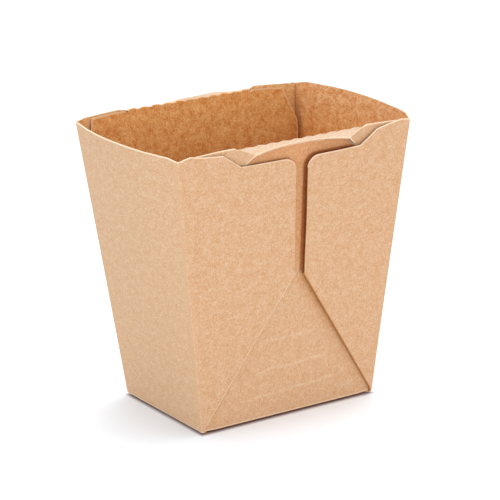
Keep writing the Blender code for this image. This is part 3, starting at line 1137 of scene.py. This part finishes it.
def kraft_board(name, colour, depth=1.0, clouds=0.36, recess=False, sunk=False):
    """Unprinted kraft: pressed fibres as fine crossing strokes, cloudy mottling and a few dark specks.
    Where asked, painted shade darkens the recesses and the lower inside.
    """
    n = Nodes(name)
    place = n.place_on_board()
    mottle = n.ramp(n.noise(place, 0.3, 5, 0.68), 0.36, 0.64)
    grain = n.noise(place, 1.9, 3, 0.6)
    shade = n.plus(n.times(mottle, clouds), n.times(n.ramp(grain, 0.33, 0.67), 1.0 - clouds))
    final = n.mix(shade, changed(colour, MOTTLE_LOW, depth), changed(colour, MOTTLE_HIGH, depth))
    strokes = [n.noise(n.stretched(place, angle, size), 1.0, 2, 0.5) for angle, *size in STROKES]
    light = n.ramp(n.larger(strokes[0], strokes[1]), 0.52, 0.68)
    dark = n.ramp(n.larger(strokes[2], strokes[3]), 0.52, 0.70)
    final = n.mix(n.times(light, 0.55), final, changed(colour, STROKE_PALE, depth))
    final = n.mix(n.times(dark, 0.45), final, changed(colour, STROKE_DARK, depth))
    specks = n.ramp(n.noise(place, 0.9, 1, 0.3), 0.80, 0.84)
    final = n.mix(n.times(specks, 0.6), final, tint(colour, SPECK_TINT))
    height = n.plus(n.times(light, 0.6), n.times(grain, 0.8))
    if recess:
        # Painted shade on the recess between the webs
        final = n.shaded(recess_shade_share(n, place), final, RECESS_SHADE_TINT)
        # Painted shadow beside the diagonal fold that stands proud
        final = n.shaded(fold_shade(n, place), final, FOLD_SHADOW_TINT)
        # Painted shade beside the webs' slot edges and tops
        final = n.shaded(slot_shade(n, place), final, SLOT_SHADOW_TINT)
        creased = wrinkle_share(n, place)
        final = n.mix(n.times(creased, 0.6), final, tint(colour, WRINKLE_TINT))
        height = n.plus(height, n.times(creased, 3.0))
    # Painted shade: the inside turns warmer and darker further down
    if sunk:
        final = n.shaded(depth_share(n), final, SUNK_SHADE_TINT)
    n.link(final, n.shader.inputs["Base Color"])
    n.link(n.ramp(grain, 0.2, 0.8, 0.58, 0.74), n.shader.inputs["Roughness"])
    n.shader.inputs["Specular IOR Level"].default_value = 0.12
    n.relief(height, 0.18, 0.00006)
    return n.material


def cut_edge(name, colour):
    """Cut edge of the board: paler, with fine fuzz."""
    n = Nodes(name)
    fuzz = n.noise(n.place_in_object(), 2600, 3, 0.6)
    base = n.mix(n.ramp(fuzz, 0.3, 0.7), tint(colour, (0.86, 0.8, 0.72)), tint(colour, (1.06, 1.1, 1.16)))
    n.link(base, n.shader.inputs["Base Color"])
    n.link(n.ramp(fuzz, 0.3, 0.7, 0.7, 0.9), n.shader.inputs["Roughness"])
    n.shader.inputs["Specular IOR Level"].default_value = 0.25
    n.relief(fuzz, 0.5, 0.00005)
    return n.material


# Stage, light and camera

def add_floor():
    mesh = bmesh.new()
    bmesh.ops.create_grid(mesh, x_segments=2, y_segments=2, size=FLOOR_HALF)
    data = bpy.data.meshes.new("floor")
    mesh.to_mesh(data)
    mesh.free()
    floor = bpy.data.objects.new("floor", data)
    floor.location = (0, 0, -FLOOR_DROP)
    bpy.context.scene.collection.objects.link(floor)
    n = Nodes("white_floor")
    place = n.place_in_object()
    tone = n.mix(n.noise(place, 3, 2), *FLOOR_TONES)
    # Painted contact shadow where the floor meets the base
    x, y = n.axes(place)[:2]
    beside = n.minus(n.size_of(x), BASE_LENGTH / 2 * MM)
    before = n.minus(n.size_of(y), BASE_DEPTH / 2 * MM)
    floor_contact_shade = n.fade(n.larger(beside, before), -0.0004, 0.0012)
    n.link(n.shaded(floor_contact_shade, tone, CONTACT_SHADOW_TINT), n.shader.inputs["Base Color"])
    n.shader.inputs["Roughness"].default_value = 0.6
    n.shader.inputs["Specular IOR Level"].default_value = 0.15
    data.materials.append(n.material)


def add_softbox(name, place, target, size, power, colour):
    data = bpy.data.lights.new(name, "AREA")
    data.shape = "RECTANGLE"
    data.size, data.size_y = size
    data.energy = power
    data.color = colour
    lamp = bpy.data.objects.new(name, data)
    lamp.location = place
    aim = Vector(target) - Vector(place)
    lamp.rotation_euler = aim.to_track_quat("-Z", "Y").to_euler()
    bpy.context.scene.collection.objects.link(lamp)


def add_light():
    world = bpy.data.worlds.new("studio")
    bpy.context.scene.world = world
    world.use_nodes = True
    background = world.node_tree.nodes["Background"]
    background.inputs["Color"].default_value = (0.985, 0.99, 1.0, 1)
    background.inputs["Strength"].default_value = 1.05
    add_softbox("softbox_top", (0.25, 0.1, 1.1), (0, 0, 0.05), (0.9, 0.9), 9.0, (1.0, 0.99, 0.98))
    add_softbox("softbox_left", (-1.3, 0.1, 0.5), (0, 0, 0.05), (0.8, 0.6), 6.2, (0.5, 0.78, 1.0))
    add_softbox("softbox_front", (-0.35, -1.2, 0.1), (0, 0, 0.03), (0.9, 0.2), 4.0, (1.0, 0.99, 0.97))
    bpy.context.scene.view_settings.view_transform = "Standard"


def add_camera():
    azimuth, elevation, roll = CAMERA_AZIMUTH, CAMERA_ELEVATION, CAMERA_ROLL
    level = math.cos(elevation)
    back = Vector((math.sin(azimuth) * level, -math.cos(azimuth) * level, math.sin(elevation)))
    right = (-back).cross(Vector((0, 0, 1))).normalized()
    up = right.cross(-back)
    turned_right = math.cos(roll) * right + math.sin(roll) * up
    turned_up = math.cos(roll) * up - math.sin(roll) * right
    data = bpy.data.cameras.new("camera")
    data.lens = CAMERA_LENS
    data.sensor_width = 36.0
    data.clip_start = 0.01
    camera = bpy.data.objects.new("camera", data)
    eye = (Vector(CAMERA_TARGET) + back * CAMERA_DISTANCE) * MM
    turn = Matrix((turned_right, turned_up, back)).transposed().to_4x4()
    camera.matrix_world = Matrix.Translation(eye) @ turn
    bpy.context.scene.collection.objects.link(camera)
    bpy.context.scene.camera = camera


def build():
    outside_colour = (0.535, 0.317, 0.172)
    kraft = kraft_board("kraft_outer_face", outside_colour, depth=2.2)
    wall = kraft_board("kraft_wall_face", outside_colour, depth=2.2, recess=True)
    # Painted shade: the inner faces, the side walls' inner faces and the lids are browner and more
    # saturated than the outer face, for the shade and bounce light inside the box
    inside = kraft_board("kraft_inner_face_painted_shade", (0.665, 0.352, 0.135), depth=3.6, clouds=0.6)
    side_shaded_colour = (0.655, 0.312, 0.11)
    side_inside_shaded = kraft_board("kraft_side_inner_face_painted_shade", side_shaded_colour, depth=4.4, clouds=0.62, sunk=True)
    lid_shaded_face = kraft_board("kraft_lid_face_painted_shade", (0.562, 0.256, 0.072), depth=4.2, clouds=0.6)
    # Pale rows along rims, base bends and edges: worn board and a painted highlight
    wear_and_highlight = kraft_board("kraft_worn_and_highlit_edge", (0.69, 0.48, 0.31), depth=1.0)
    worn = kraft_board("kraft_worn_crease", (0.55, 0.39, 0.262), depth=1.2)
    # Painted shadow with warm bounce light on the proud web's fold
    fold_shadow_face = kraft_board("kraft_proud_fold_painted_shadow", (0.45, 0.19, 0.06), depth=1.0)
    # Painted highlight along the tight web's diagonal fold
    ridge_highlight_face = kraft_board("kraft_fold_painted_highlight", (0.75, 0.54, 0.36), depth=0.5)
    # Painted shadow line in the inner corners
    corner_shadow_face = kraft_board("kraft_inner_corner_painted_shadow", (0.27, 0.11, 0.03), depth=1.0)
    lid_wear = kraft_board("kraft_lid_edge", (0.66, 0.40, 0.20), depth=1.0)
    # Painted shadow: dark brown for board in narrow gaps and under folds, and for the contact line at the
    # base
    gap = kraft_board("kraft_painted_shadow_face", (0.27, 0.11, 0.035), depth=1.0)
    edge = cut_edge("kraft_cut_edge", (0.76, 0.60, 0.44))
    add_long_walls(wall, kraft, inside, edge, wear_and_highlight, worn, gap)
    add_sides(kraft, side_inside_shaded, edge, wear_and_highlight, gap, fold_shadow_face, ridge_highlight_face, corner_shadow_face)
    add_lids(lid_shaded_face, edge, lid_wear, worn)
    add_floor()
    add_light()
    add_camera()


build()
